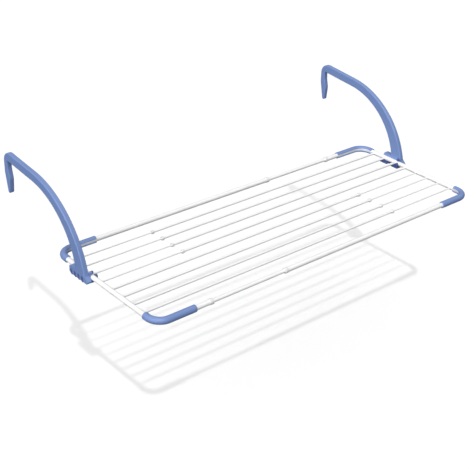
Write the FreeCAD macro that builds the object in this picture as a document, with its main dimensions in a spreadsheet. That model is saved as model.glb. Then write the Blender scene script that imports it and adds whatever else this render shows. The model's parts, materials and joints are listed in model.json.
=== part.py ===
"""Extendable hang-over clothes airer.

Two U-shaped tube halves telescope into one rectangular frame.  Eight telescopic rods run
between the side rails, and a moulded arm with a hook swings on each side rail.

Millimetres, +X along the rods, +Y towards the support, +Z up.  The origin is the middle of
the edge that the two hooks hang over.  The right half of the frame is the left half turned
half a turn about the vertical through the middle of the tray.
"""
import FreeCAD, Part
import math
import os

import Sketcher
from FreeCAD import Rotation, Vector

OUTPUT_FOLDER = "parts"
SHEET_NAME = "Sizes"
X_DIRECTION = Vector(1, 0, 0)
Y_DIRECTION = Vector(0, 1, 0)
Z_DIRECTION = Vector(0, 0, 1)

# alias, value in millimetres or degrees, what it measures
SIZES = [
    ("hook_reach", 359, "middle of the tray to the front of the hooks' legs, along Y"),
    ("hook_rise", 167.9, "plane of the rods to the inner corner of the hooks, along Z"),
    ("rail_x", 496, "middle of the tray to a side rail's axis"),
    ("rail_y", 186, "middle of the tray to the front or rear rail's axis"),
    ("bend_radius", 32, "centre line radius of the frame's corners"),
    ("rail_outer", 12, "frame tube, outside diameter"),
    ("rail_inner", 10, "frame tube, inside diameter"),
    ("long_mouth_x", 141, "end of a long rail arm, past the middle of the tray"),
    ("short_mouth_x", 351, "end of a short rail arm, from the middle of the tray"),
    ("slider_outer", 9, "inner rail tube, outside diameter"),
    ("slider_inner", 7.4, "inner rail tube, inside diameter"),
    ("slider_seat", 40, "inner rail tube held inside the short arm"),
    ("slider_overlap", 100, "inner rail tube left inside the long arm when extended"),
    ("glide_outer", 9.9, "glide on the inner rail tube's free end"),
    ("glide_length", 15, "glide, length"),
    ("running_gap", 0.05, "radial clearance of a sliding fit"),
    ("rail_collar_outer", 14, "rail collar, outside diameter"),
    ("rail_collar_grip", 7, "rail collar, length over the tube"),
    ("collar_rounding", 0.6, "rounding of a collar's rims"),
    ("collar_lip", 1.5, "length of a collar's lip in front of the tube"),
    ("rod_pitch", 38.5, "distance between neighbouring rods"),
    ("rod_outer", 6, "thick rod tube, outside diameter"),
    ("rod_inner", 4.8, "thick rod tube, inside diameter"),
    ("rod_mouth_x", 271, "end of a thick rod tube, past the middle of the tray"),
    ("wire_diameter", 3.8, "thin rod"),
    ("wire_overlap", 100, "thin rod left inside the thick tube when extended"),
    ("rod_collar_outer", 9.5, "rod collar, outside diameter"),
    ("rod_collar_grip", 4.5, "rod collar, length over the tube"),
    ("stop_outer", 4.7, "end stop on a thin rod, outside diameter"),
    ("stop_length", 8, "end stop on a thin rod, length"),
    ("cap_outer", 17, "corner guard, outside diameter"),
    ("cap_rounding", 1, "rounding of the corner guard's ends"),
    ("cap_rail_x", 396, "corner guard's end on the front or rear rail"),
    ("cap_side_y", 145, "corner guard's end on the side rail"),
    ("cap_opening", 30, "half the angle of the corner guard's open inner side, degrees"),
    ("arm_offset", 13.7, "side rail's axis to the arm's middle plane"),
    ("arm_thickness", 12.4, "arm, across"),
    ("arm_edge_radius", 2.4, "rounding of the arm's long edges"),
    ("arm_bottom_z", -7, "underside of the arm's foot"),
    ("bow_outer_radius", 228.4, "arm's outer curve"),
    ("bow_outer_y", 271, "centre of the arm's outer curve"),
    ("bow_outer_z", -48, "centre of the arm's outer curve"),
    ("bow_inner_radius", 190.3, "arm's inner curve"),
    ("bow_inner_y", 270, "centre of the arm's inner curve"),
    ("bow_inner_z", -31.5, "centre of the arm's inner curve"),
    ("top_slope", 5.3, "slope of the arm's straight top, degrees"),
    ("toe_z", -10, "bottom of the arm's toe"),
    ("toe_back_y", 54.2, "back of the arm's toe"),
    ("toe_radius", 5, "rounding of the arm's toe"),
    ("lip_front_y", 39.5, "front of the lip in front of the toe"),
    ("lip_low_z", -9, "bottom of the lip"),
    ("lip_front_z", -3.5, "top of the lip's upright front"),
    ("lip_radius", 2.4, "rounding of the lip's front edges"),
    ("lip_top_y", 51.5, "top of the lip's slope, inside the arm"),
    ("lip_top_z", 8, "top of the lip's slope"),
    ("foot_back_y", 109, "rear end of the arm's foot"),
    ("foot_top_z", 10.5, "top of the arm's foot"),
    ("foot_radius", 3.5, "rounding of the foot's rear corners"),
    ("hook_corner_radius", 23, "outer corner of the hook"),
    ("hook_inside_radius", 4, "inner corner of the hook"),
    ("hook_back_y", 373.4, "back of the hook"),
    ("back_bend_z", 138, "height where the hook's back starts to taper"),
    ("back_bend_radius", 40, "rounding of the bend in the hook's back"),
    ("leg_bend_y", 357.5, "front of the hook's leg where it starts to thicken"),
    ("leg_bend_z", 146, "height where the hook's leg starts to thicken"),
    ("leg_bend_radius", 30, "rounding of the bend in the hook's leg"),
    ("knee_y", 351.8, "front of the knee on the hook's leg"),
    ("knee_z", 123, "height of the knee on the hook's leg"),
    ("knee_radius", 20, "rounding of the knee"),
    ("tip_front_y", 354.8, "front of the hook's tip"),
    ("tip_back_y", 362, "back of the hook's tip"),
    ("tip_z", 86.3, "bottom of the hook's tip"),
    ("tip_radius", 3.4, "rounding of the hook's tip"),
    ("saddle_front_y", 46, "front of the arm's saddle on the side rail"),
    ("saddle_back_y", 107, "back of the arm's saddle on the side rail"),
    ("saddle_bore", 12.16, "bore that turns on the side rail"),
    ("saddle_top_x", 3.6, "rail axis to the saddle's upper lip, across"),
    ("saddle_top_z", 5.1, "height of the saddle's upper lip"),
    ("saddle_low_x", 5.1, "rail axis to the saddle's lower lip, across"),
    ("saddle_low_z", -3.6, "height of the saddle's lower lip"),
    ("saddle_root_x", 7.9, "rail axis to the saddle's root in the arm"),
    ("saddle_root_low_z", -4.6, "bottom of the saddle's root"),
    ("saddle_root_top_z", 10, "top of the saddle's root"),
    ("saddle_shoulder_x", 5.4, "rail axis to the saddle's shoulder, across"),
    ("saddle_shoulder_z", 8.8, "height of the saddle's shoulder"),
    ("lobe_first_y", 59.2, "first of the keeper's lobes"),
    ("lobe_pitch", 14.2, "distance between the keeper's lobes"),
    ("lobe_width", 8.6, "keeper's lobe, width"),
    ("lobe_top_z", -1.2, "centre of a lobe's rounded top"),
    ("lobe_low_z", -7.6, "centre of a lobe's rounded bottom"),
    ("lobe_gap", 0.2, "clearance round a lobe in the arm's foot"),
    ("lobe_inset", 0.6, "arm's inner face to the inner end of a lobe"),
    ("cut_spare", 0.5, "how far a cut runs past the face that it opens"),
    ("keeper_bottom_z", -10, "underside of the keeper's plate"),
    ("keeper_inboard", 12.5, "rail axis to the keeper's inner edge"),
    ("keeper_outboard", 18.7, "rail axis to the keeper's outer edge"),
    ("keeper_toe_gap", 0.5, "gap between the arm's toe and the keeper"),
    ("keeper_tail", 2, "rear end of the keeper's plate to the rear end of the foot"),
    ("keeper_notch", 4, "rail axis to the bottom of the notch between the keeper's pads"),
    ("pad_front_y", 42, "front of the keeper's front pad"),
    ("pad_notch_front_y", 64, "front of the notch between the pads"),
    ("pad_notch_back_y", 80, "back of the notch between the pads"),
    ("pad_back_y", 104, "back of the keeper's rear pad"),
    ("lug_top_z", -3.3, "top of a lug, just under its rod"),
    ("lug_width", 12, "lug along the rail"),
    ("lug_depth", 4, "lug across the rail"),
    ("tab_inboard", 11, "rail axis to the inner side of the keeper's upright tab"),
    ("tab_front_y", 43, "front of the upright tab"),
    ("tab_length", 8, "upright tab, along the rail"),
    ("tab_top_z", 4.8, "top of the upright tab"),
    ("cradle_back_y", 104, "back of the keeper's cradle"),
    ("cradle_inner_x", 5, "rail axis to the cradle's inner side"),
    ("cradle_inner_z", -3.6, "top of the cradle's inner side"),
    ("cradle_root_z", -7.5, "bottom of the cradle, inside the plate"),
    ("cradle_outer_x", 7.4, "rail axis to the cradle's outer side"),
    ("cradle_outer_z", -4.7, "top of the cradle's outer side"),
    ("cradle_shoulder_x", 5.2, "rail axis to the cradle's shoulder, across"),
    ("cradle_shoulder_z", -3.75, "height of the cradle's shoulder"),
    ("knob_y", 50.5, "knob over the side rail"),
    ("knob_z", 10.4, "height of the knob's axis above the rail's axis"),
    ("knob_diameter", 7, "knob"),
    ("knob_neck", 5, "neck of the knob"),
    ("neck_root", 0.5, "length of the knob's neck inside the arm"),
    ("neck_stop", 1, "end of the neck to the end of the knob"),
    ("knob_start", 3.5, "rail axis to the knob's outer face"),
    ("knob_length", 6.5, "knob, length"),
    ("knob_rounding", 2.5, "rounding of the knob"),
    ("screw_offset", 13.7, "rail axis to the keeper's screws"),
    ("screw_front_y", 66.3, "front keeper screw"),
    ("screw_back_y", 94.7, "rear keeper screw"),
    ("screw_shank", 2.9, "keeper screw, shank"),
    ("screw_clearance", 3.3, "keeper's hole for a screw"),
    ("screw_head", 5.4, "keeper screw, head"),
    ("screw_head_height", 1.5, "keeper screw, head height"),
    ("screw_sink", 1.6, "counterbore for a screw's head"),
    ("screw_sink_bore", 6, "counterbore for a screw's head, diameter"),
    ("screw_length", 11, "keeper screw, head included"),
    ("screw_hole_spare", 1, "depth of a screw hole past the screw's end"),
    ("recess_width", 0.8, "cross recess in a screw's head"),
    ("recess_length", 3.2, "cross recess in a screw's head"),
    ("recess_depth", 0.9, "cross recess in a screw's head"),
]
ROD_COUNT = 8
LOBE_COUNT = 4

doc = FreeCAD.newDocument("Airer")
sheet = doc.addObject("Spreadsheet::Sheet", SHEET_NAME)
for row, (alias, value, meaning) in enumerate(SIZES, start=1):
    sheet.set(f"A{row}", meaning)
    sheet.set(f"B{row}", str(value))
    sheet.setAlias(f"B{row}", alias)
doc.recompute()

pieces = []


def size(expression):
    """Value of an expression on the sheet."""
    return float(sheet.evalExpression(expression))


# ---------------------------------------------------------------- sketch helpers

def new_body(label):
    body = doc.addObject("PartDesign::Body", label)
    body.Label = label
    pieces.append(body)
    return body


def place(piece, x="0", y="0", turn_axis=None, z="0"):
    """Put a piece at x, y, z from the middle of the tray, after half a turn about an axis.

    The half turn also turns the position, so a turned piece lands in the other half.
    """
    sign_x = 1
    sign_y = 1
    if turn_axis is not None:
        sign_x = 1 if turn_axis == X_DIRECTION else -1
        sign_y = 1 if turn_axis == Y_DIRECTION else -1
        piece.Placement = FreeCAD.Placement(Vector(0, 0, 0), Rotation(turn_axis, 180))
    piece.setExpression("Placement.Base.x", f"{sign_x} * ({x})")
    piece.setExpression("Placement.Base.y", f"{sign_y} * ({y}) - Sizes.hook_reach")
    piece.setExpression("Placement.Base.z", f"({z}) - Sizes.hook_rise")


def new_sketch(body, name, role, offset="0"):
    sketch = body.newObject("Sketcher::SketchObject", f"{body.Label}_{name}")
    plane = next(item for item in body.Origin.OriginFeatures if item.Role == role)
    sketch.AttachmentSupport = (plane, [""])
    sketch.MapMode = "FlatFace"
    sketch.setExpression("AttachmentOffset.Base.z", offset)
    return sketch


def constrain(sketch, *terms):
    """Add a dimension whose last term is an expression on the sheet."""
    expression = terms[-1]
    index = sketch.addConstraint(Sketcher.Constraint(*terms[:-1], size(expression)))
    sketch.setExpression(f"Constraints[{index}]", expression)


def fix_point(sketch, geometry, position, x, y):
    constrain(sketch, "DistanceX", -1, 1, geometry, position, x)
    constrain(sketch, "DistanceY", -1, 1, geometry, position, y)


def add_circle(sketch, x, y, diameter):
    circle = Part.Circle(Vector(size(x), size(y), 0), Z_DIRECTION, size(diameter) / 2)
    index = sketch.addGeometry(circle)
    fix_point(sketch, index, 3, x, y)
    constrain(sketch, "Diameter", index, diameter)


def arc_between(start, end, radius, turn):
    """Arc shorter than half a circle, turning left (1) or right (-1) on its way."""
    chord = end - start
    half = chord.Length / 2
    rise = math.sqrt(max(radius * radius - half * half, 0))
    side = Vector(-chord.y, chord.x, 0).normalize()
    centre = (start + end) / 2 + side * (rise * turn)
    first, last = (start, end) if turn > 0 else (end, start)
    first_angle = math.atan2(first.y - centre.y, first.x - centre.x)
    last_angle = math.atan2(last.y - centre.y, last.x - centre.x)
    return Part.ArcOfCircle(Part.Circle(centre, Z_DIRECTION, radius), first_angle, last_angle)


def rounded_corner(before, corner, after, radius):
    """Ends of the arc that rounds a corner between two straight lines, and its turn."""
    to_before = (before - corner).normalize()
    to_after = (after - corner).normalize()
    reach = radius / math.tan(to_before.getAngle(to_after) / 2)
    turn = 1 if to_before.x * to_after.y - to_before.y * to_after.x < 0 else -1
    return corner + to_before * reach, corner + to_after * reach, turn


def add_path(sketch, corners, closed):
    """Chain of lines and arcs through the corners.

    A corner is (x, y), (x, y, radius) or (x, y, radius, turn).  The second kind is rounded
    between two straight lines.  The third kind starts an arc to the next corner, turning
    left (1) or right (-1); the other two start a straight line.
    """
    points = [Vector(size(corner[0]), size(corner[1]), 0) for corner in corners]
    starts = list(points)
    ends = list(points)
    turns = [0] * len(points)
    for number, corner in enumerate(corners):
        if len(corner) == 3:
            before = points[number - 1]
            after = points[(number + 1) % len(points)]
            ends[number], starts[number], turns[number] = rounded_corner(
                before, points[number], after, size(corner[2]))

    chain = []
    for number, corner in enumerate(corners):
        if turns[number]:
            arc = arc_between(ends[number], starts[number], size(corner[2]), turns[number])
            chain.append((sketch.addGeometry(arc), turns[number], number))
        if number + 1 == len(corners) and not closed:
            continue
        end = ends[(number + 1) % len(points)]
        if len(corner) == 4:
            arc = arc_between(starts[number], end, size(corner[2]), corner[3])
            chain.append((sketch.addGeometry(arc), corner[3], None))
            constrain(sketch, "Radius", chain[-1][0], corner[2])
        else:
            line = Part.LineSegment(starts[number], end)
            chain.append((sketch.addGeometry(line), 0, None))

    def first_end(link):
        return (link[0], 2 if link[1] < 0 else 1)

    def last_end(link):
        return (link[0], 1 if link[1] < 0 else 2)

    for place_in_chain, link in enumerate(chain):
        following = (place_in_chain + 1) % len(chain)
        if following == 0 and not closed:
            continue
        rounded = link[2] is not None or chain[following][2] is not None
        kind = "Tangent" if rounded else "Coincident"
        joint = (*last_end(link), *first_end(chain[following]))
        sketch.addConstraint(Sketcher.Constraint(kind, *joint))

    for place_in_chain, link in enumerate(chain):
        if link[2] is None:
            continue
        corner = corners[link[2]]
        mark = sketch.addGeometry(Part.Point(points[link[2]]), True)
        fix_point(sketch, mark, 1, corner[0], corner[1])
        for neighbour in (chain[place_in_chain - 1], chain[(place_in_chain + 1) % len(chain)]):
            sketch.addConstraint(
                Sketcher.Constraint("PointOnObject", mark, 1, neighbour[0]))
        constrain(sketch, "Radius", link[0], corner[2])

    straight_links = [link for link in chain if link[2] is None]
    for number, corner in enumerate(corners):
        if len(corner) == 3:
            continue
        if number < len(straight_links):
            geometry, position = first_end(straight_links[number])
        else:
            geometry, position = last_end(straight_links[-1])
        fix_point(sketch, geometry, position, corner[0], corner[1])


def add_feature(body, kind, sketch, length, name, symmetric=True):
    feature = body.newObject(f"PartDesign::{kind}", f"{body.Label}_{name}")
    feature.Profile = (sketch, [""])
    feature.setExpression("Length", length)
    if symmetric:
        feature.Midplane = True
    body.Tip = feature
    return feature


def add_sweep(body, profile, spine, name):
    sweep = body.newObject("PartDesign::AdditivePipe", f"{body.Label}_{name}")
    sweep.Profile = (profile, [""])
    sweep.Spine = (spine, [""])
    body.Tip = sweep
    return sweep


def round_edges(body, feature, name, radius, wanted):
    """Fillet the edges of a feature for which wanted(edge) is true."""
    doc.recompute()
    names = [f"Edge{number}" for number, edge in enumerate(feature.Shape.Edges, start=1)
             if wanted(edge)]
    fillet = body.newObject("PartDesign::Fillet", f"{body.Label}_{name}")
    fillet.Base = (feature, names)
    fillet.setExpression("Radius", radius)
    body.Tip = fillet
    return fillet


def is_circle(edge, radius):
    return isinstance(edge.Curve, Part.Circle) and abs(edge.Curve.Radius - radius) < 0.01


# ---------------------------------------------------------------- telescopic frame

def make_round_bar(label, length, outer, inner=None):
    """Round bar or tube along +X from its own origin."""
    body = new_body(label)
    section = new_sketch(body, "section", "YZ_Plane")
    add_circle(section, "0", "0", outer)
    if inner is not None:
        add_circle(section, "0", "0", inner)
    add_feature(body, "Pad", section, length, "length", symmetric=False)
    return body


def cope_to_side_rail(body):
    """Hollow the bar's rail end to sit on the side rail, whose axis crosses the origin."""
    outline = new_sketch(body, "cope_outline", "XZ_Plane")
    add_circle(outline, "0", "0", "Sizes.rail_outer")
    add_feature(body, "Pocket", outline, "2 * Sizes.rail_outer", "cope")


def make_frame_tube(label, turn_axis):
    """U-shaped tube: long rear arm, side rail and short front arm."""
    body = new_body(label)
    straight_x = "Sizes.bend_radius - Sizes.rail_x"
    straight_y = "Sizes.rail_y - Sizes.bend_radius"
    spine = new_sketch(body, "spine", "XY_Plane")
    add_path(spine, [
        ("Sizes.long_mouth_x", "Sizes.rail_y"),
        (straight_x, "Sizes.rail_y", "Sizes.bend_radius", 1),
        ("-Sizes.rail_x", straight_y),
        ("-Sizes.rail_x", f"-({straight_y})", "Sizes.bend_radius", 1),
        (straight_x, "-Sizes.rail_y"),
        ("-Sizes.short_mouth_x", "-Sizes.rail_y"),
    ], closed=False)
    section = new_sketch(body, "section", "YZ_Plane", "Sizes.long_mouth_x")
    add_circle(section, "Sizes.rail_y", "0", "Sizes.rail_outer")
    add_circle(section, "Sizes.rail_y", "0", "Sizes.rail_inner")
    add_sweep(body, section, spine, "bend")
    place(body, turn_axis=turn_axis)


def make_corner_cap(label, turn_axis):
    """Guard snapped over the outside of one corner, open towards the tray."""
    body = new_body(label)
    straight_x = "Sizes.bend_radius - Sizes.rail_x"
    straight_y = "Sizes.rail_y - Sizes.bend_radius"
    spine = new_sketch(body, "spine", "XY_Plane")
    add_path(spine, [
        ("-Sizes.cap_rail_x", "Sizes.rail_y"),
        (straight_x, "Sizes.rail_y", "Sizes.bend_radius", 1),
        ("-Sizes.rail_x", straight_y),
        ("-Sizes.rail_x", "Sizes.cap_side_y"),
    ], closed=False)
    section = new_sketch(body, "section", "YZ_Plane", "-Sizes.cap_rail_x")
    outer, inner = "Sizes.cap_outer / 2", "Sizes.rail_outer / 2"
    across, up = "cos(Sizes.cap_opening * 1 deg)", "sin(Sizes.cap_opening * 1 deg)"
    add_path(section, [
        (f"Sizes.rail_y - {outer} * {across}", f"-{outer} * {up}", outer, 1),
        (f"Sizes.rail_y + {outer}", "0", outer, 1),
        (f"Sizes.rail_y - {outer} * {across}", f"{outer} * {up}"),
        (f"Sizes.rail_y - {inner} * {across}", f"{inner} * {up}", inner, -1),
        (f"Sizes.rail_y + {inner}", "0", inner, -1),
        (f"Sizes.rail_y - {inner} * {across}", f"-{inner} * {up}"),
    ], closed=True)
    wrap = add_sweep(body, section, spine, "wrap")
    outer_radius = size(outer)
    round_edges(body, wrap, "rounding", "Sizes.cap_rounding",
                lambda edge: is_circle(edge, outer_radius))
    place(body, turn_axis=turn_axis)


def make_collar(label, outer, tube, bore, grip):
    """Stepped ring: grips the tube behind the origin, and its lip guides the inner one."""
    body = new_body(label)
    grip_section = new_sketch(body, "grip_section", "YZ_Plane", f"-({grip})")
    add_circle(grip_section, "0", "0", outer)
    add_circle(grip_section, "0", "0", tube)
    add_feature(body, "Pad", grip_section, grip, "grip", symmetric=False)
    lip_section = new_sketch(body, "lip_section", "YZ_Plane")
    add_circle(lip_section, "0", "0", outer)
    add_circle(lip_section, "0", "0", bore)
    lip = add_feature(body, "Pad", lip_section, "Sizes.collar_lip", "lip", symmetric=False)
    outer_radius = size(outer) / 2
    round_edges(body, lip, "rounding", "Sizes.collar_rounding",
                lambda edge: is_circle(edge, outer_radius))
    return body


def make_ring(name, x, y, turn_axis, outer, bore, length):
    """Plain ring along +X, as one of a group."""
    outside = doc.addObject("Part::Cylinder", f"{name}_outside")
    inside = doc.addObject("Part::Cylinder", f"{name}_inside")
    for cylinder, diameter in ((outside, outer), (inside, bore)):
        cylinder.setExpression("Radius", f"({diameter}) / 2")
        cylinder.setExpression("Height", length)
    ring = doc.addObject("Part::Cut", name)
    ring.Base = outside
    ring.Tool = inside
    along_x = Rotation(Y_DIRECTION, 90)
    sign = 1 if turn_axis is None else -1
    turned = along_x if turn_axis is None else Rotation(turn_axis, 180).multiply(along_x)
    ring.Placement = FreeCAD.Placement(Vector(0, 0, 0), turned)
    ring.setExpression("Placement.Base.x", f"{sign} * ({x})")
    ring.setExpression("Placement.Base.y", f"{sign} * ({y}) - Sizes.hook_reach")
    ring.setExpression("Placement.Base.z", "-Sizes.hook_rise")
    return ring


def make_group(label, members):
    group = doc.addObject("Part::Compound", label)
    group.Label = label
    group.Links = members
    pieces.append(group)


def rod_number(half, index):
    """Rods are counted 1 to 8 from the rear; index counts from the rear of the left half."""
    return index if half == "left" else ROD_COUNT + 1 - index


def rod_y(index):
    return f"Sizes.rod_pitch * {(ROD_COUNT + 1) / 2 - index}"


def make_half(half, turn_axis):
    """Everything that is fixed to one U-shaped tube."""
    near, far = ("front", "rear") if half == "left" else ("rear", "front")
    make_frame_tube(f"{half}_frame_tube", turn_axis)

    slider_start = "Sizes.short_mouth_x + Sizes.slider_seat"
    slider_end = "Sizes.long_mouth_x - Sizes.slider_overlap"
    slider = make_round_bar(f"{near}_rail_inner_tube", f"{slider_start} - ({slider_end})",
                            "Sizes.slider_outer", "Sizes.slider_inner")
    place(slider, f"-({slider_start})", "-Sizes.rail_y", turn_axis)
    glide = make_round_bar(f"{near}_rail_glide", "Sizes.glide_length",
                           "Sizes.glide_outer", "Sizes.slider_outer")
    place(glide, f"-({slider_end}) - Sizes.glide_length", "-Sizes.rail_y", turn_axis)

    fixed_collar = make_collar(f"{near}_rail_fixed_collar", "Sizes.rail_collar_outer",
                               "Sizes.rail_outer", "Sizes.slider_outer",
                               "Sizes.rail_collar_grip")
    place(fixed_collar, "-Sizes.short_mouth_x", "-Sizes.rail_y", turn_axis)
    guide_collar = make_collar(f"{far}_rail_guide_collar", "Sizes.rail_collar_outer",
                               "Sizes.rail_outer",
                               "Sizes.slider_outer + 2 * Sizes.running_gap",
                               "Sizes.rail_collar_grip")
    place(guide_collar, "Sizes.long_mouth_x", "Sizes.rail_y", turn_axis)

    stops = []
    for index in range(1, ROD_COUNT + 1):
        number = rod_number(half, index)
        if index > ROD_COUNT / 2:
            tube = make_round_bar(f"rod_{number}_tube", "Sizes.rail_x + Sizes.rod_mouth_x",
                                  "Sizes.rod_outer", "Sizes.rod_inner")
            cope_to_side_rail(tube)
            place(tube, "-Sizes.rail_x", rod_y(index), turn_axis)
            collar = make_collar(f"rod_{number}_collar", "Sizes.rod_collar_outer",
                                 "Sizes.rod_outer",
                                 "Sizes.wire_diameter + 2 * Sizes.running_gap",
                                 "Sizes.rod_collar_grip")
            place(collar, "Sizes.rod_mouth_x", rod_y(index), turn_axis)
            continue
        wire_end = "Sizes.wire_overlap - Sizes.rod_mouth_x"
        wire = make_round_bar(f"rod_{number}_wire", f"Sizes.rail_x + {wire_end}",
                              "Sizes.wire_diameter")
        cope_to_side_rail(wire)
        place(wire, "-Sizes.rail_x", rod_y(index), turn_axis)
        stops.append(make_ring(f"rod_{number}_stop", f"{wire_end} - Sizes.stop_length",
                               rod_y(index), turn_axis, "Sizes.stop_outer",
                               "Sizes.wire_diameter", "Sizes.stop_length"))
    make_group(f"{half}_wire_end_stops", stops)


# ---------------------------------------------------------------- arms

def along_bow(name, z):
    """Expression for Y on the front side of one of the arm's curves, at height z."""
    radius, centre_y, centre_z = (f"Sizes.bow_{name}_{part}" for part in ("radius", "y", "z"))
    return f"{centre_y} - sqrt({radius} ^ 2 - ({z} - {centre_z}) ^ 2)"


def bow_top(name):
    """Where one of the arm's curves runs tangent into the straight top."""
    radius, centre_y, centre_z = (f"Sizes.bow_{name}_{part}" for part in ("radius", "y", "z"))
    slope = "(Sizes.top_slope * 1 deg)"
    return f"{centre_y} - {radius} * sin{slope}", f"{centre_z} + {radius} * cos{slope}"


def on_straight(name, y):
    """Expression for Z on the arm's straight top or its underside, at y."""
    top_y, top_z = bow_top(name)
    return f"{top_z} + ({y} - ({top_y})) * tan(Sizes.top_slope * 1 deg)"


def toe_on_bow():
    """Where the rounded toe runs tangent out of the outer curve, and the toe's centre."""
    reach = "(Sizes.bow_outer_radius - Sizes.toe_radius)"
    drop = "(Sizes.toe_z + Sizes.toe_radius - Sizes.bow_outer_z)"
    back = f"sqrt({reach} ^ 2 - {drop} ^ 2)"
    scale = f"Sizes.bow_outer_radius / {reach}"
    return (f"Sizes.bow_outer_y - {back} * {scale}", f"Sizes.bow_outer_z + {drop} * {scale}",
            f"Sizes.bow_outer_y - {back}")


def arm_outline():
    """Corners of the arm's side view, anticlockwise from the front of its toe."""
    toe_y, toe_corner_z, toe_centre_y = toe_on_bow()
    return [
        (toe_y, toe_corner_z, "Sizes.toe_radius", 1),
        (toe_centre_y, "Sizes.toe_z"),
        ("Sizes.toe_back_y", "Sizes.toe_z"),
        ("Sizes.toe_back_y", "Sizes.arm_bottom_z"),
        ("Sizes.foot_back_y", "Sizes.arm_bottom_z", "Sizes.foot_radius"),
        ("Sizes.foot_back_y", "Sizes.foot_top_z", "Sizes.foot_radius"),
        (along_bow("inner", "Sizes.foot_top_z"), "Sizes.foot_top_z",
         "Sizes.bow_inner_radius", -1),
        bow_top("inner"),
        ("Sizes.hook_reach", on_straight("inner", "Sizes.hook_reach"),
         "Sizes.hook_inside_radius"),
        ("Sizes.leg_bend_y", "Sizes.leg_bend_z", "Sizes.leg_bend_radius"),
        ("Sizes.knee_y", "Sizes.knee_z", "Sizes.knee_radius"),
        ("Sizes.tip_front_y", "Sizes.tip_z", "Sizes.tip_radius"),
        ("Sizes.tip_back_y", "Sizes.tip_z", "Sizes.tip_radius"),
        ("Sizes.hook_back_y", "Sizes.back_bend_z", "Sizes.back_bend_radius"),
        ("Sizes.hook_back_y", on_straight("outer", "Sizes.hook_back_y"),
         "Sizes.hook_corner_radius"),
        (*bow_top("outer"), "Sizes.bow_outer_radius", 1),
    ]


def outward(side, distance):
    """Expression for X at a distance from the rail's axis, away from the tray."""
    return f"{side} * ({distance})"


def lobe_y(number):
    return f"Sizes.lobe_first_y + {number} * Sizes.lobe_pitch"


def add_slots(sketch, width, bottom_z):
    """Four upright slots with round ends, one for each lobe."""
    radius = f"({width}) / 2"
    for number in range(LOBE_COUNT):
        left = f"{lobe_y(number)} - {radius}"
        right = f"{lobe_y(number)} + {radius}"
        add_path(sketch, [
            (left, bottom_z, radius, 1),
            (lobe_y(number), f"{bottom_z} - {radius}", radius, 1),
            (right, bottom_z),
            (right, "Sizes.lobe_top_z", radius, 1),
            (lobe_y(number), f"Sizes.lobe_top_z + {radius}", radius, 1),
            (left, "Sizes.lobe_top_z"),
        ], closed=True)


def add_rail_bore(body):
    bore = new_sketch(body, "bore_section", "XZ_Plane")
    add_circle(bore, "0", "0", "Sizes.saddle_bore")
    add_feature(body, "Pocket", bore, "2 * Sizes.rail_x", "bore")


def round_arm_edges(body, bar):
    """Round the long edges of the bow and the hook, and leave the foot's edges sharp."""
    half = size("Sizes.arm_thickness / 2")
    middle_x = size("Sizes.arm_offset")
    foot_top = size("Sizes.foot_top_z")

    def is_long_edge(edge):
        box = edge.BoundBox
        off_middle = abs(abs(box.Center.x) - middle_x)
        return (box.XLength < 0.01 and abs(off_middle - half) < 0.01
                and box.ZMax > foot_top + 1)

    round_edges(body, bar, "rounding", "Sizes.arm_edge_radius", is_long_edge)


def make_arm(label, side):
    """Bowed arm with its hook, in the frame of the side rail's axis."""
    body = new_body(label)
    outline = new_sketch(body, "outline", "YZ_Plane", outward(side, "Sizes.arm_offset"))
    add_path(outline, arm_outline(), closed=True)
    bar = add_feature(body, "Pad", outline, "Sizes.arm_thickness", "bar")
    round_arm_edges(body, bar)

    lip = new_sketch(body, "lip_outline", "YZ_Plane", outward(side, "Sizes.arm_offset"))
    add_path(lip, [
        ("Sizes.toe_back_y", "Sizes.lip_low_z"),
        ("Sizes.toe_back_y", "Sizes.lip_top_z"),
        ("Sizes.lip_top_y", "Sizes.lip_top_z"),
        ("Sizes.lip_front_y", "Sizes.lip_front_z", "Sizes.lip_radius"),
        ("Sizes.lip_front_y", "Sizes.lip_low_z", "Sizes.lip_radius"),
    ], closed=True)
    add_feature(body, "Pad", lip, "Sizes.arm_thickness", "lip")

    saddle_middle = "(Sizes.saddle_front_y + Sizes.saddle_back_y) / 2"
    saddle = new_sketch(body, "saddle_section", "XZ_Plane", f"-{saddle_middle}")
    corners = [
        ("Sizes.saddle_top_x", "Sizes.saddle_top_z"),
        ("Sizes.saddle_low_x", "Sizes.saddle_low_z"),
        ("Sizes.saddle_root_x", "Sizes.saddle_root_low_z"),
        ("Sizes.saddle_root_x", "Sizes.saddle_root_top_z"),
        ("Sizes.saddle_shoulder_x", "Sizes.saddle_shoulder_z"),
    ]
    add_path(saddle, [(outward(side, x), z) for x, z in corners], closed=True)
    add_feature(body, "Pad", saddle, "Sizes.saddle_back_y - Sizes.saddle_front_y", "saddle")
    add_rail_bore(body)

    slots = new_sketch(body, "slots", "YZ_Plane", outward(side, "Sizes.arm_offset"))
    add_slots(slots, "Sizes.lobe_width + 2 * Sizes.lobe_gap", "Sizes.toe_z")
    add_feature(body, "Pocket", slots, "Sizes.arm_thickness + 2 * Sizes.cut_spare",
                "lobe_slots")

    holes = new_sketch(body, "screw_holes", "XY_Plane", "Sizes.arm_bottom_z")
    for y in ("Sizes.screw_front_y", "Sizes.screw_back_y"):
        add_circle(holes, outward(side, "Sizes.screw_offset"), y, "Sizes.screw_shank")
    depth = ("2 * (Sizes.screw_length + Sizes.screw_hole_spare"
             " - Sizes.arm_bottom_z + Sizes.keeper_bottom_z)")
    add_feature(body, "Pocket", holes, depth, "screw_bores")
    add_knob(body, side)
    place(body, outward(side, "Sizes.rail_x"))
    return body


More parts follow.
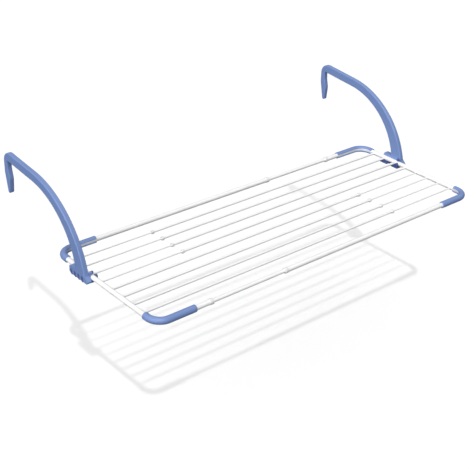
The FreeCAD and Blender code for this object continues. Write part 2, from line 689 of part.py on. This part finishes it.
def add_knob(body, side):
    """Round-ended knob on a neck, reaching from the arm over the top of the side rail."""
    neck_start = "(Sizes.arm_offset - Sizes.arm_thickness / 2 + Sizes.neck_root)"
    knob_end = "(Sizes.knob_start - Sizes.knob_length)"
    neck_end = f"({knob_end} + Sizes.neck_stop)"
    neck_middle = outward(side, f"({neck_start} + {neck_end}) / 2")
    neck = new_sketch(body, "neck_section", "YZ_Plane", neck_middle)
    add_circle(neck, "Sizes.knob_y", "Sizes.knob_z", "Sizes.knob_neck")
    add_feature(body, "Pad", neck, f"{neck_start} - {neck_end}", "neck")
    knob_middle = outward(side, f"(Sizes.knob_start + {knob_end}) / 2")
    knob = new_sketch(body, "knob_section", "YZ_Plane", knob_middle)
    add_circle(knob, "Sizes.knob_y", "Sizes.knob_z", "Sizes.knob_diameter")
    pad = add_feature(body, "Pad", knob, "Sizes.knob_length", "knob")
    end_x = size(outward(side, knob_end))
    radius = size("Sizes.knob_diameter / 2")
    round_edges(body, pad, "knob_rounding", "Sizes.knob_rounding",
                lambda edge: is_circle(edge, radius) and abs(edge.Curve.Center.x - end_x) < 0.01)


def add_tab(body, side):
    """Upright tab with a round top on the keeper's front pad."""
    middle = outward(side, "Sizes.lug_depth / 2 - Sizes.tab_inboard")
    outline = new_sketch(body, "tab_outline", "YZ_Plane", middle)
    radius = "Sizes.tab_length / 2"
    shoulder_z = f"Sizes.tab_top_z - {radius}"
    back_y = "Sizes.tab_front_y + Sizes.tab_length"
    add_path(outline, [
        ("Sizes.tab_front_y", "Sizes.keeper_bottom_z"),
        (back_y, "Sizes.keeper_bottom_z"),
        (back_y, shoulder_z, radius, 1),
        (f"Sizes.tab_front_y + {radius}", "Sizes.tab_top_z", radius, 1),
        ("Sizes.tab_front_y", shoulder_z),
    ], closed=True)
    add_feature(body, "Pad", outline, "Sizes.lug_depth", "tab")


def make_keeper(label, side):
    """Clamp plate under the side rail, with lobes in the arm's foot and two inner pads."""
    body = new_body(label)
    plate = new_sketch(body, "plate_outline", "XY_Plane", "Sizes.keeper_bottom_z")
    inner_face = "(Sizes.arm_offset - Sizes.arm_thickness / 2)"
    foot_front_y = "Sizes.toe_back_y + Sizes.keeper_toe_gap"
    foot_back_y = "Sizes.foot_back_y - Sizes.keeper_tail"
    corners = [
        (inner_face, "Sizes.pad_front_y"),
        ("-Sizes.keeper_inboard", "Sizes.pad_front_y"),
        ("-Sizes.keeper_inboard", "Sizes.pad_notch_front_y"),
        ("-Sizes.keeper_notch", "Sizes.pad_notch_front_y"),
        ("-Sizes.keeper_notch", "Sizes.pad_notch_back_y"),
        ("-Sizes.keeper_inboard", "Sizes.pad_notch_back_y"),
        ("-Sizes.keeper_inboard", "Sizes.pad_back_y"),
        (inner_face, "Sizes.pad_back_y"),
        (inner_face, foot_back_y),
        ("Sizes.keeper_outboard", foot_back_y),
        ("Sizes.keeper_outboard", foot_front_y),
        (inner_face, foot_front_y),
    ]
    add_path(plate, [(outward(side, x), y) for x, y in corners], closed=True)
    thickness = "Sizes.arm_bottom_z - Sizes.keeper_bottom_z"
    add_feature(body, "Pad", plate, thickness, "plate", symmetric=False)

    cradle_middle = "(Sizes.saddle_front_y + Sizes.cradle_back_y) / 2"
    cradle = new_sketch(body, "cradle_section", "XZ_Plane", f"-{cradle_middle}")
    corners = [
        ("-Sizes.cradle_inner_x", "Sizes.cradle_inner_z"),
        ("-Sizes.cradle_inner_x", "Sizes.cradle_root_z"),
        ("Sizes.cradle_outer_x", "Sizes.cradle_root_z"),
        ("Sizes.cradle_outer_x", "Sizes.cradle_outer_z"),
        ("Sizes.cradle_shoulder_x", "Sizes.cradle_shoulder_z"),
    ]
    add_path(cradle, [(outward(side, x), z) for x, z in corners], closed=True)
    add_feature(body, "Pad", cradle, "Sizes.cradle_back_y - Sizes.saddle_front_y", "cradle")
    add_rail_bore(body)

    lobe_start = f"({inner_face} + Sizes.lobe_inset)"
    lobes_middle = outward(side, f"({lobe_start} + Sizes.keeper_outboard) / 2")
    lobes = new_sketch(body, "lobes", "YZ_Plane", lobes_middle)
    add_slots(lobes, "Sizes.lobe_width", "Sizes.lobe_low_z")
    add_feature(body, "Pad", lobes, f"Sizes.keeper_outboard - {lobe_start}", "lobe_pads")

    lug_height = "Sizes.lug_top_z - Sizes.keeper_bottom_z"
    lugs = new_sketch(body, "lug_outlines", "XY_Plane", "Sizes.keeper_bottom_z")
    lug_inner = "-Sizes.keeper_inboard"
    lug_outer = "Sizes.lug_depth - Sizes.keeper_inboard"
    for index in (2, 3):
        front_y = f"{rod_y(index)} - Sizes.lug_width / 2"
        back_y = f"{rod_y(index)} + Sizes.lug_width / 2"
        add_path(lugs, [
            (outward(side, lug_inner), front_y),
            (outward(side, lug_outer), front_y),
            (outward(side, lug_outer), back_y),
            (outward(side, lug_inner), back_y),
        ], closed=True)
    add_feature(body, "Pad", lugs, lug_height, "lugs", symmetric=False)
    add_tab(body, side)

    for name, diameter, depth in (
        ("screw_holes", "Sizes.screw_clearance", f"2 * ({thickness} + Sizes.cut_spare)"),
        ("screw_sinks", "Sizes.screw_sink_bore", "2 * Sizes.screw_sink"),
    ):
        holes = new_sketch(body, name, "XY_Plane", "Sizes.keeper_bottom_z")
        for y in ("Sizes.screw_front_y", "Sizes.screw_back_y"):
            add_circle(holes, outward(side, "Sizes.screw_offset"), y, diameter)
        add_feature(body, "Pocket", holes, depth, f"{name}_cut")
    place(body, outward(side, "Sizes.rail_x"))
    return body


def make_screw(name, side, y):
    """Pan-head screw pointing up into the arm's foot."""
    head = doc.addObject("Part::Cylinder", f"{name}_head")
    head.setExpression("Radius", "Sizes.screw_head / 2")
    head.setExpression("Height", "Sizes.screw_head_height")
    shank = doc.addObject("Part::Cylinder", f"{name}_shank")
    shank.setExpression("Radius", "Sizes.screw_shank / 2")
    shank.setExpression("Height", "Sizes.screw_length")
    bars = []
    for number, (length, width) in enumerate((("length", "width"), ("width", "length"))):
        bar = doc.addObject("Part::Box", f"{name}_recess_{number}")
        bar.setExpression("Length", f"Sizes.recess_{length}")
        bar.setExpression("Width", f"Sizes.recess_{width}")
        bar.setExpression("Height", "Sizes.recess_depth")
        bar.setExpression("Placement.Base.x", f"-Sizes.recess_{length} / 2")
        bar.setExpression("Placement.Base.y", f"-Sizes.recess_{width} / 2")
        bars.append(bar)
    blank = doc.addObject("Part::Fuse", f"{name}_blank")
    blank.Base = head
    blank.Tool = shank
    recess = doc.addObject("Part::Fuse", f"{name}_recess")
    recess.Base, recess.Tool = bars
    screw = doc.addObject("Part::Cut", name)
    screw.Base = blank
    screw.Tool = recess
    x = f"{outward(side, 'Sizes.rail_x')} + {outward(side, 'Sizes.screw_offset')}"
    place(screw, x, y, z="Sizes.keeper_bottom_z + Sizes.screw_sink - Sizes.screw_head_height")
    return screw


make_half("left", None)
make_half("right", Z_DIRECTION)
for cap_label, cap_axis in (("rear_left_corner_cap", None),
                            ("front_left_corner_cap", X_DIRECTION),
                            ("front_right_corner_cap", Z_DIRECTION),
                            ("rear_right_corner_cap", Y_DIRECTION)):
    make_corner_cap(cap_label, cap_axis)
for side_name, side_sign in (("left", -1), ("right", 1)):
    make_arm(f"{side_name}_arm", side_sign)
    make_keeper(f"{side_name}_arm_keeper", side_sign)
    make_group(f"{side_name}_keeper_screws", [
        make_screw(f"{side_name}_{place_name}_screw", side_sign, f"Sizes.screw_{place_name}_y")
        for place_name in ("front", "back")
    ])

doc.recompute()

# ---------------------------------------------------------------- check and write

for item in doc.Objects:
    bad = [state for state in item.State if state in ("Invalid", "Error")]
    if bad:
        raise RuntimeError(f"{item.Label}: {bad}")
os.makedirs(OUTPUT_FOLDER, exist_ok=True)
for piece in pieces:
    shape = piece.Shape
    if shape.isNull() or not shape.isValid() or not shape.Solids:
        raise RuntimeError(f"{piece.Label}: bad shape")
    shape.exportStep(os.path.join(OUTPUT_FOLDER, f"{piece.Label}.step"))
    box = shape.BoundBox
    print(f"{piece.Label:28s} solids {len(shape.Solids)} volume {shape.Volume:10.1f}"
          f"  X {box.XMin:8.2f} {box.XMax:8.2f}  Y {box.YMin:8.2f} {box.YMax:8.2f}"
          f"  Z {box.ZMin:8.2f} {box.ZMax:8.2f}")
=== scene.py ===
import json
import math

import bmesh
import bpy
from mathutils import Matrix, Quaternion, Vector


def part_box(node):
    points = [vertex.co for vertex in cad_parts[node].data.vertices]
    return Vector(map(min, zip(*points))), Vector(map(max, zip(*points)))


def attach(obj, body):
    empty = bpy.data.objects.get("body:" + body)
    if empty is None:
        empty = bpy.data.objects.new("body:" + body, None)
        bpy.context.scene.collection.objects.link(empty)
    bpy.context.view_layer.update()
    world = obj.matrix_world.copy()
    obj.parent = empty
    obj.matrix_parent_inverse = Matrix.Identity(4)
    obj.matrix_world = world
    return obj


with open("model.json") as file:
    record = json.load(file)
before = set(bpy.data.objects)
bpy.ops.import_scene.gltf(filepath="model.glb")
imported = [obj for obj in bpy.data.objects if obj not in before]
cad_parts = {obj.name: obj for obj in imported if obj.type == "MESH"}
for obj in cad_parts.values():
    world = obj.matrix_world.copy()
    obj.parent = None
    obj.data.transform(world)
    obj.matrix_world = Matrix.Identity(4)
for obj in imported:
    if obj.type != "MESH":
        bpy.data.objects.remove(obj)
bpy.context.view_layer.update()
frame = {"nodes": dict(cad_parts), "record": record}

MM = 0.001

# ---------------------------------------------------------------- places from the frame

TUBE_LOW, TUBE_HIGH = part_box("left_frame_tube")
RAIL_RADIUS = (TUBE_HIGH.z - TUBE_LOW.z) / 2
RAIL_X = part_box("right_frame_tube")[1].x - RAIL_RADIUS
TRAY_Y = (TUBE_HIGH.y + TUBE_LOW.y) / 2
ROD_Z = (TUBE_HIGH.z + TUBE_LOW.z) / 2
ARM_OFFSET = 13.7 * MM
ARM_MIDDLE_X = RAIL_X + ARM_OFFSET
ROD_COUNT = 8
SIDES = (("left", -1), ("right", 1))

# ---------------------------------------------------------------- sizes of the details

ROUND_STEPS = 40

# weld beads, uneven by these parts of their size in waves and ripples round the rod
WELD_REACH = 1.8 * MM
WELD_HEIGHT = 0.7 * MM
WELD_SINK = 0.2 * MM
WELD_STEPS = 7
WELD_WAVES, WELD_WAVE_SIZE = 3, 0.10
WELD_RIPPLES, WELD_RIPPLE_SIZE = 7, 0.05
WELD_TURN_PER_METRE = 700

MOULD_LINE_WIDTH = 0.5 * MM
MOULD_LINE_HEIGHT = 0.16 * MM
MOULD_LINE_SINK = 0.05 * MM
SAME_POINT = 0.001 * MM

# knob cover, with its profile as (mm along the axis past the knob's end, mm radius)
KNOB_Y = TRAY_Y + 50.5 * MM
KNOB_Z = ROD_Z + 10.4 * MM
KNOB_END_X = RAIL_X - 3.0 * MM
KNOB_COVER_PROFILE = ((-4.6, 3.55), (-4.4, 3.80), (-3.9, 3.92), (-1.8, 3.92), (-0.6, 3.60),
                      (0.25, 2.70), (0.62, 1.50), (0.70, 0.05))

# dark navy disc painted as the shade in the hook's inner corner, with its profile as (mm out of the
# leg, part of the radius)
SHADE_SPOT_RADIUS = 2.4 * MM
SHADE_SPOT_DROP = 5.5 * MM
SHADE_SPOT_OUTBOARD = 1.5 * MM
SHADE_SPOT_PROFILE = ((-0.3, 1.0), (0.30, 0.96), (0.36, 0.86), (0.12, 0.74), (0.08, 0.35), (0.10, 0.02))

# ---------------------------------------------------------------- colours and light

COATING_DARK, COATING_LIGHT = (0.89, 0.89, 0.885), (0.925, 0.925, 0.925)
MOULDING_DARK, MOULDING_LIGHT = (0.74, 0.74, 0.735), (0.78, 0.78, 0.78)
BLUE_DARK, BLUE_LIGHT, BLUE_WORN = (0.165, 0.250, 0.505), (0.177, 0.267, 0.535), (0.26, 0.35, 0.57)
# navy whose darkness is painted shade on the keeper pads and lobes under the rail and on the hook's
# corner spot; the knob cover wears it as its own colour
NAVY_PAINTED_SHADE_DARK, NAVY_PAINTED_SHADE_LIGHT, NAVY_PAINTED_SHADE_WORN = (0.050, 0.090, 0.260), (0.058, 0.100, 0.280), (0.20, 0.28, 0.52)
ZINC_DARK, ZINC_LIGHT = (0.55, 0.56, 0.57), (0.72, 0.72, 0.73)

FLOOR_DROP = 0.395
FLOOR_REACH = 15
FLOOR_SEEN = (0.97, 0.97, 0.97)
FLOOR_BOUNCED = (0.07, 0.07, 0.08)
OVERHEAD_DIRECTION = (0, 0, 1)
OVERHEAD_LIGHT = 0.80
OVERHEAD_SPREAD = 1.0
FILL_DIRECTION = (-1.0, -0.35, 0.25)
FILL_LIGHT = 2.6
FILL_SPREAD = 3.0
SUN_DIRECTION = (-0.158, -0.237, 0.393)
SUN_POWER = 0.76
SUN_ANGLE = math.radians(1.4)

CAMERA_AZIMUTH = math.radians(-41.45)
CAMERA_ELEVATION = math.radians(28.62)
CAMERA_ROLL = math.radians(2.21)
CAMERA_DISTANCE = 2.5156
CAMERA_LENS = 81.65
CAMERA_SENSOR = 36
CAMERA_TARGET = Vector((-0.1206, TRAY_Y + 0.0096, ROD_Z - 0.0020))


# ---------------------------------------------------------------- material nodes

def add_math(tree, operation, first, second):
    """Math node whose inputs are sockets or numbers."""
    node = tree.nodes.new("ShaderNodeMath")
    node.operation = operation
    for target, value in zip(node.inputs, (first, second)):
        if isinstance(value, (int, float)):
            target.default_value = value
        else:
            tree.links.new(value, target)
    return node.outputs["Value"]


class Nodes:
    """A material's node tree, with short ways to add and join nodes."""

    def __init__(self, name):
        self.material = bpy.data.materials.new(name)
        self.material.use_nodes = True
        self.tree = self.material.node_tree
        self.shader = self.tree.nodes["Principled BSDF"]

    def add(self, kind, **inputs):
        """New node with some of its sockets set."""
        node = self.tree.nodes.new(kind)
        for name, value in inputs.items():
            node.inputs[name.replace("_", " ")].default_value = value
        return node

    def join(self, output, target):
        self.tree.links.new(output, target)

    def feed(self, output, name):
        """Join an output to the shader's socket of that name."""
        self.join(output, self.shader.inputs[name])

    def set(self, **inputs):
        """Set sockets of the shader."""
        for name, value in inputs.items():
            self.shader.inputs[name.replace("_", " ")].default_value = value

    def noise(self, scale, detail=3.0, roughness=0.5, stretch=(1, 1, 1)):
        """Noise that stays with the object; scale is per metre."""
        place = self.add("ShaderNodeTexCoord")
        mapping = self.add("ShaderNodeMapping", Scale=stretch)
        texture = self.add("ShaderNodeTexNoise", Scale=scale, Detail=detail, Roughness=roughness)
        self.join(place.outputs["Object"], mapping.inputs["Vector"])
        self.join(mapping.outputs["Vector"], texture.inputs["Vector"])
        return texture.outputs["Fac"]

    def ramp(self, source, dark, light, start=0.3, stop=0.7):
        """Colour that goes from dark to light while the source goes from start to stop."""
        node = self.add("ShaderNodeValToRGB")
        stops = ((start, dark), (stop, light))
        for element, (position, colour) in zip(node.color_ramp.elements, stops):
            element.position = position
            element.color = (*colour, 1)
        self.join(source, node.inputs["Fac"])
        return node.outputs["Color"]

    def spread(self, source, low, high, start=0.3, stop=0.7):
        """Value that goes from low to high while the source goes from start to stop."""
        node = self.add("ShaderNodeMapRange", From_Min=start, From_Max=stop, To_Min=low, To_Max=high)
        self.join(source, node.inputs["Value"])
        return node.outputs["Result"]

    def bump(self, source, strength, distance, before=None):
        """Normal of a bump, laid over another bump if there is one before it."""
        node = self.add("ShaderNodeBump", Strength=strength, Distance=distance)
        self.join(source, node.inputs["Height"])
        if before is not None:
            self.join(before, node.inputs["Normal"])
        return node.outputs["Normal"]


def make_white_coating():
    """Dip-coated steel: glossy, with a faint orange peel and slightly uneven whiteness."""
    nodes = Nodes("white_coating")
    cloud = nodes.noise(scale=35, detail=2)
    nodes.feed(nodes.ramp(cloud, COATING_DARK, COATING_LIGHT, start=0.35, stop=0.65), "Base Color")
    nodes.feed(nodes.spread(nodes.noise(scale=260), low=0.26, high=0.36), "Roughness")
    nodes.set(Coat_Weight=0.25, Coat_Roughness=0.12)
    peel = nodes.bump(nodes.noise(scale=900, detail=2), strength=0.12, distance=0.15 * MM)
    nodes.feed(peel, "Normal")
    return nodes.material


def make_white_moulding():
    """Satin white plastic of the collars and glides."""
    nodes = Nodes("white_moulding")
    cloud = nodes.noise(scale=60, detail=2)
    nodes.feed(nodes.ramp(cloud, MOULDING_DARK, MOULDING_LIGHT, start=0.35, stop=0.65), "Base Color")
    nodes.feed(nodes.spread(nodes.noise(scale=400), low=0.42, high=0.52), "Roughness")
    grain = nodes.bump(nodes.noise(scale=2200, detail=2), strength=0.15, distance=0.05 * MM)
    nodes.feed(grain, "Normal")
    return nodes.material


def make_blue_moulding(name, dark, light, worn, roughness):
    """Moulded blue plastic: fine spark-eroded grain, faint flow marks and rubbed edges."""
    nodes = Nodes(name)
    flow = nodes.noise(scale=14, detail=4, roughness=0.6, stretch=(1, 1, 1.8))
    body = nodes.ramp(flow, dark, light)
    geometry = nodes.add("ShaderNodeNewGeometry")
    edge = nodes.spread(geometry.outputs["Pointiness"], low=0.0, high=0.35, start=0.52, stop=0.62)
    scuffs = add_math(nodes.tree, "MULTIPLY", edge, nodes.noise(scale=90, detail=4))
    mix = nodes.add("ShaderNodeMix")
    mix.data_type = "RGBA"
    nodes.join(scuffs, mix.inputs["Factor"])
    nodes.join(body, mix.inputs[6])
    mix.inputs[7].default_value = (*worn, 1)
    nodes.feed(mix.outputs[2], "Base Color")
    gloss = nodes.noise(scale=180, detail=3)
    nodes.feed(nodes.spread(gloss, low=roughness - 0.05, high=roughness + 0.05), "Roughness")
    waves = nodes.bump(nodes.noise(scale=45, detail=1), strength=0.10, distance=0.4 * MM)
    grain = nodes.bump(nodes.noise(scale=2600, detail=2), strength=0.22, distance=0.06 * MM,
                       before=waves)
    nodes.feed(grain, "Normal")
    return nodes.material


def make_zinc():
    """Zinc plated screw steel."""
    nodes = Nodes("zinc_plating")
    cloud = nodes.noise(scale=500, detail=3)
    nodes.feed(nodes.ramp(cloud, ZINC_DARK, ZINC_LIGHT), "Base Color")
    nodes.set(Metallic=1.0)
    nodes.feed(nodes.spread(nodes.noise(scale=900), low=0.28, high=0.42), "Roughness")
    return nodes.material


MATERIALS = {
    "white_paint": make_white_coating(),
    "white_plastic": make_white_moulding(),
    "blue_plastic": make_blue_moulding("blue_moulding", BLUE_DARK, BLUE_LIGHT, BLUE_WORN,
                                       roughness=0.40),
    # darker blue that paints the shade under the rail onto the keeper pads and lobes
    "dark_blue_plastic": make_blue_moulding("navy_moulding_with_painted_shade", NAVY_PAINTED_SHADE_DARK, NAVY_PAINTED_SHADE_LIGHT, NAVY_PAINTED_SHADE_WORN,
                                            roughness=0.45),
    "zinc_screw": make_zinc(),
}


def dress_cad_nodes():
    """Give every node of the frame the finish of its slot."""
    for entry in frame["record"]["subparts"]:
        piece = frame["nodes"][entry["node"]]
        piece.data.materials.clear()
        # the keeper pads and lobes take the navy moulding, whose darkness is painted shade
        piece.data.materials.append(MATERIALS[entry["material_slot"]])


# ---------------------------------------------------------------- details

def add_piece(name, body, slot, form):
    """Smooth-shaded object from a bmesh, moving with a body."""
    bmesh.ops.recalc_face_normals(form, faces=form.faces)
    mesh = bpy.data.meshes.new(name)
    form.to_mesh(mesh)
    form.free()
    mesh.shade_smooth()
    mesh.materials.append(MATERIALS[slot])
    piece = bpy.data.objects.new(name, mesh)
    bpy.context.scene.collection.objects.link(piece)
    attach(piece, body)


def add_rings(form, rings, closed=True):
    """Faces between neighbouring rings of points."""
    rows = [[form.verts.new(point) for point in ring] for ring in rings]
    for row, following in zip(rows, rows[1:]):
        count = len(row)
        for number in range(count if closed else count - 1):
            after = (number + 1) % count
            form.faces.new((row[number], row[after], following[after], following[number]))


def around():
    """Angles once round a circle."""
    return [math.tau * number / ROUND_STEPS for number in range(ROUND_STEPS)]


def weld_rings(centre, inward, radius):
    """Concave bead from a rod onto the round side rail, a little uneven like a real weld."""
    rings = []
    for step in range(WELD_STEPS + 1):
        along = step / WELD_STEPS
        ring = []
        for angle in around():
            waves = math.sin(WELD_WAVES * angle + centre.y * WELD_TURN_PER_METRE)
            ripples = math.sin(WELD_RIPPLES * angle)
            uneven = 1 + WELD_WAVE_SIZE * waves + WELD_RIPPLE_SIZE * ripples
            bead = radius + WELD_HEIGHT * uneven * (1 - along) ** 2
            up = bead * math.sin(angle)
            face = math.sqrt(RAIL_RADIUS ** 2 - up ** 2) - WELD_SINK
            out = face + WELD_REACH * uneven * along
            ring.append(centre + Vector((inward * out, bead * math.cos(angle), up)))
        rings.append(ring)
    return rings


def make_welds(side, sign):
    """Beads at one side's end of all rods; the tubes of the first half of them are on the right."""
    form = bmesh.new()
    for number in range(1, ROD_COUNT + 1):
        tube_side = "right" if number <= ROD_COUNT / 2 else "left"
        piece = "tube" if side == tube_side else "wire"
        low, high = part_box(f"rod_{number}_{piece}")
        centre = Vector((sign * RAIL_X, (low.y + high.y) / 2, ROD_Z))
        add_rings(form, weld_rings(centre, -sign, (high.z - low.z) / 2))
    add_piece(f"{side}_rod_welds", f"{side}_half", "white_paint", form)


def cut_chains(node, x):
    """Chains of points where a node's surface crosses the upright plane at x."""
    form = bmesh.new()
    form.from_mesh(frame["nodes"][node].data)
    bmesh.ops.remove_doubles(form, verts=form.verts, dist=SAME_POINT)
    cut = bmesh.ops.bisect_plane(form, geom=form.verts[:] + form.edges[:] + form.faces[:],
                                 plane_co=(x, 0, 0), plane_no=(1, 0, 0))
    edges = {item for item in cut["geom_cut"] if isinstance(item, bmesh.types.BMEdge)}
    chains = []
    while edges:
        edge = edges.pop()
        chain = [edge.verts[0], edge.verts[1]]
        grown = True
        while grown:
            grown = False
            for link in chain[-1].link_edges:
                if link in edges:
                    edges.remove(link)
                    chain.append(link.other_vert(chain[-1]))
                    grown = True
                    break
        chains.append([vertex.co.copy() for vertex in chain])
    form.free()
    return chains


def make_mould_line(side, sign):
    """Fine raised line where the two halves of the arm's mould met."""
    chain = max(cut_chains(f"{side}_arm", sign * ARM_MIDDLE_X), key=len)
    area = sum(a.y * b.z - b.y * a.z for a, b in zip(chain, chain[1:]))
    outward = 1 if area > 0 else -1
    across = Vector((1, 0, 0))
    half = MOULD_LINE_WIDTH / 2
    profile = ((-half, -MOULD_LINE_SINK), (-half / 2, MOULD_LINE_HEIGHT),
               (half / 2, MOULD_LINE_HEIGHT), (half, -MOULD_LINE_SINK))
    rows = []
    for before, point, after in zip(chain, chain[1:], chain[2:]):
        run = (after - before).normalized()
        normal = Vector((0, run.z, -run.y)) * outward
        rows.append([point + across * wide + normal * high for wide, high in profile])
    form = bmesh.new()
    add_rings(form, rows, closed=False)
    add_piece(f"{side}_arm_mould_line", f"{side}_arm", "blue_plastic", form)


def turned_rings(centre, axis, profile, radius_scale):
    """Rings of a turned shape: profile holds (mm along the axis, radius before its scale)."""
    side = axis.orthogonal().normalized()
    other = axis.cross(side)
    return [[centre + axis * (along * MM)
             + (side * math.cos(angle) + other * math.sin(angle)) * (radius * radius_scale)
             for angle in around()] for along, radius in profile]


def make_corner_shade_spot(side, sign):
    """Round dark disc on the hook's leg, painted shade of the hook's inner corner; the frame's
    origin is the hooks' inner corner.
    """
    centre = Vector((sign * (ARM_MIDDLE_X + SHADE_SPOT_OUTBOARD), 0, -SHADE_SPOT_DROP))
    form = bmesh.new()
    add_rings(form, turned_rings(centre, Vector((0, -1, 0)), SHADE_SPOT_PROFILE, SHADE_SPOT_RADIUS))
    # the disc's dark navy is painted shade of the inner corner
    add_piece(f"{side}_hook_painted_shade_spot", f"{side}_arm", "dark_blue_plastic", form)


def make_knob_cover(side, sign):
    """Darker cover pressed over the end of the arm's knob."""
    centre = Vector((sign * KNOB_END_X, KNOB_Y, KNOB_Z))
    form = bmesh.new()
    add_rings(form, turned_rings(centre, Vector((-sign, 0, 0)), KNOB_COVER_PROFILE, MM))
    add_piece(f"{side}_knob_cover", f"{side}_arm", "dark_blue_plastic", form)


def make_details():
    """Pieces that ride on the bodies, beside the frame's own nodes."""
    for side, sign in SIDES:
        make_welds(side, sign)
    for side, sign in SIDES:
        make_mould_line(side, sign)
        make_corner_shade_spot(side, sign)
        make_knob_cover(side, sign)


# ---------------------------------------------------------------- stage

def make_floor_paper():
    """White paper whose bounce on the rack is damped, so that the bars keep a shaded underside."""
    nodes = Nodes("floor_paper")
    seen = nodes.add("ShaderNodeBsdfDiffuse", Color=(*FLOOR_SEEN, 1))
    bounced = nodes.add("ShaderNodeBsdfDiffuse", Color=(*FLOOR_BOUNCED, 1))
    path = nodes.add("ShaderNodeLightPath")
    mix = nodes.add("ShaderNodeMixShader")
    nodes.join(path.outputs["Is Camera Ray"], mix.inputs["Fac"])
    nodes.join(bounced.outputs["BSDF"], mix.inputs[1])
    nodes.join(seen.outputs["BSDF"], mix.inputs[2])
    nodes.join(mix.outputs["Shader"], nodes.tree.nodes["Material Output"].inputs["Surface"])
    nodes.tree.nodes.remove(nodes.shader)
    return nodes.material


def make_floor():
    """Wide level floor below the rack."""
    mesh = bpy.data.meshes.new("floor")
    form = bmesh.new()
    bmesh.ops.create_grid(form, x_segments=1, y_segments=1, size=FLOOR_REACH)
    form.to_mesh(mesh)
    form.free()
    mesh.materials.append(make_floor_paper())
    floor = bpy.data.objects.new("floor", mesh)
    floor.location = (0, 0, ROD_Z - FLOOR_DROP)
    bpy.context.scene.collection.objects.link(floor)


def add_glow(tree, place, direction, strength, spread):
    """Part of the dome's light: strongest towards direction, falling as cosine to a power."""
    dot = tree.nodes.new("ShaderNodeVectorMath")
    dot.operation = "DOT_PRODUCT"
    dot.inputs[1].default_value = Vector(direction).normalized()
    tree.links.new(place.outputs["Generated"], dot.inputs[0])
    facing = add_math(tree, "MAXIMUM", dot.outputs["Value"], 0.0)
    shaped = add_math(tree, "POWER", facing, spread)
    return add_math(tree, "MULTIPLY", shaped, strength)


def make_dome():
    """White dome, brightest overhead, with a broad fill from the left; seen as plain white."""
    world = bpy.data.worlds.new("studio")
    world.use_nodes = True
    bpy.context.scene.world = world
    bpy.context.scene.view_settings.view_transform = "Standard"
    tree = world.node_tree
    background = tree.nodes["Background"]
    background.inputs["Color"].default_value = (1, 1, 1, 1)
    place = tree.nodes.new("ShaderNodeTexCoord")
    overhead = add_glow(tree, place, OVERHEAD_DIRECTION, OVERHEAD_LIGHT, OVERHEAD_SPREAD)
    fill = add_glow(tree, place, FILL_DIRECTION, FILL_LIGHT, FILL_SPREAD)
    total = add_math(tree, "ADD", overhead, fill)
    path = tree.nodes.new("ShaderNodeLightPath")
    shown = add_math(tree, "MAXIMUM", total, path.outputs["Is Camera Ray"])
    tree.links.new(shown, background.inputs["Strength"])


def make_sun():
    """Soft sun that casts the rack's shadow on the floor."""
    data = bpy.data.lights.new("sun", "SUN")
    data.energy = SUN_POWER
    data.angle = SUN_ANGLE
    sun = bpy.data.objects.new("sun", data)
    sun.rotation_euler = Vector(SUN_DIRECTION).to_track_quat("Z", "Y").to_euler()
    bpy.context.scene.collection.objects.link(sun)


def make_camera():
    """Camera that looks at its target from an azimuth and elevation, rolled about its axis."""
    flat = math.cos(CAMERA_ELEVATION)
    back = Vector((math.sin(CAMERA_AZIMUTH) * flat, -math.cos(CAMERA_AZIMUTH) * flat,
                   math.sin(CAMERA_ELEVATION)))
    data = bpy.data.cameras.new("camera")
    data.lens = CAMERA_LENS
    data.sensor_width = CAMERA_SENSOR
    camera = bpy.data.objects.new("camera", data)
    camera.rotation_mode = "QUATERNION"
    roll = Quaternion((0, 0, 1), CAMERA_ROLL)
    camera.rotation_quaternion = back.to_track_quat("Z", "Y") @ roll
    camera.location = CAMERA_TARGET + back * CAMERA_DISTANCE
    bpy.context.scene.collection.objects.link(camera)
    bpy.context.scene.camera = camera


make_camera()
make_floor()
make_dome()
make_sun()
dress_cad_nodes()
make_details()
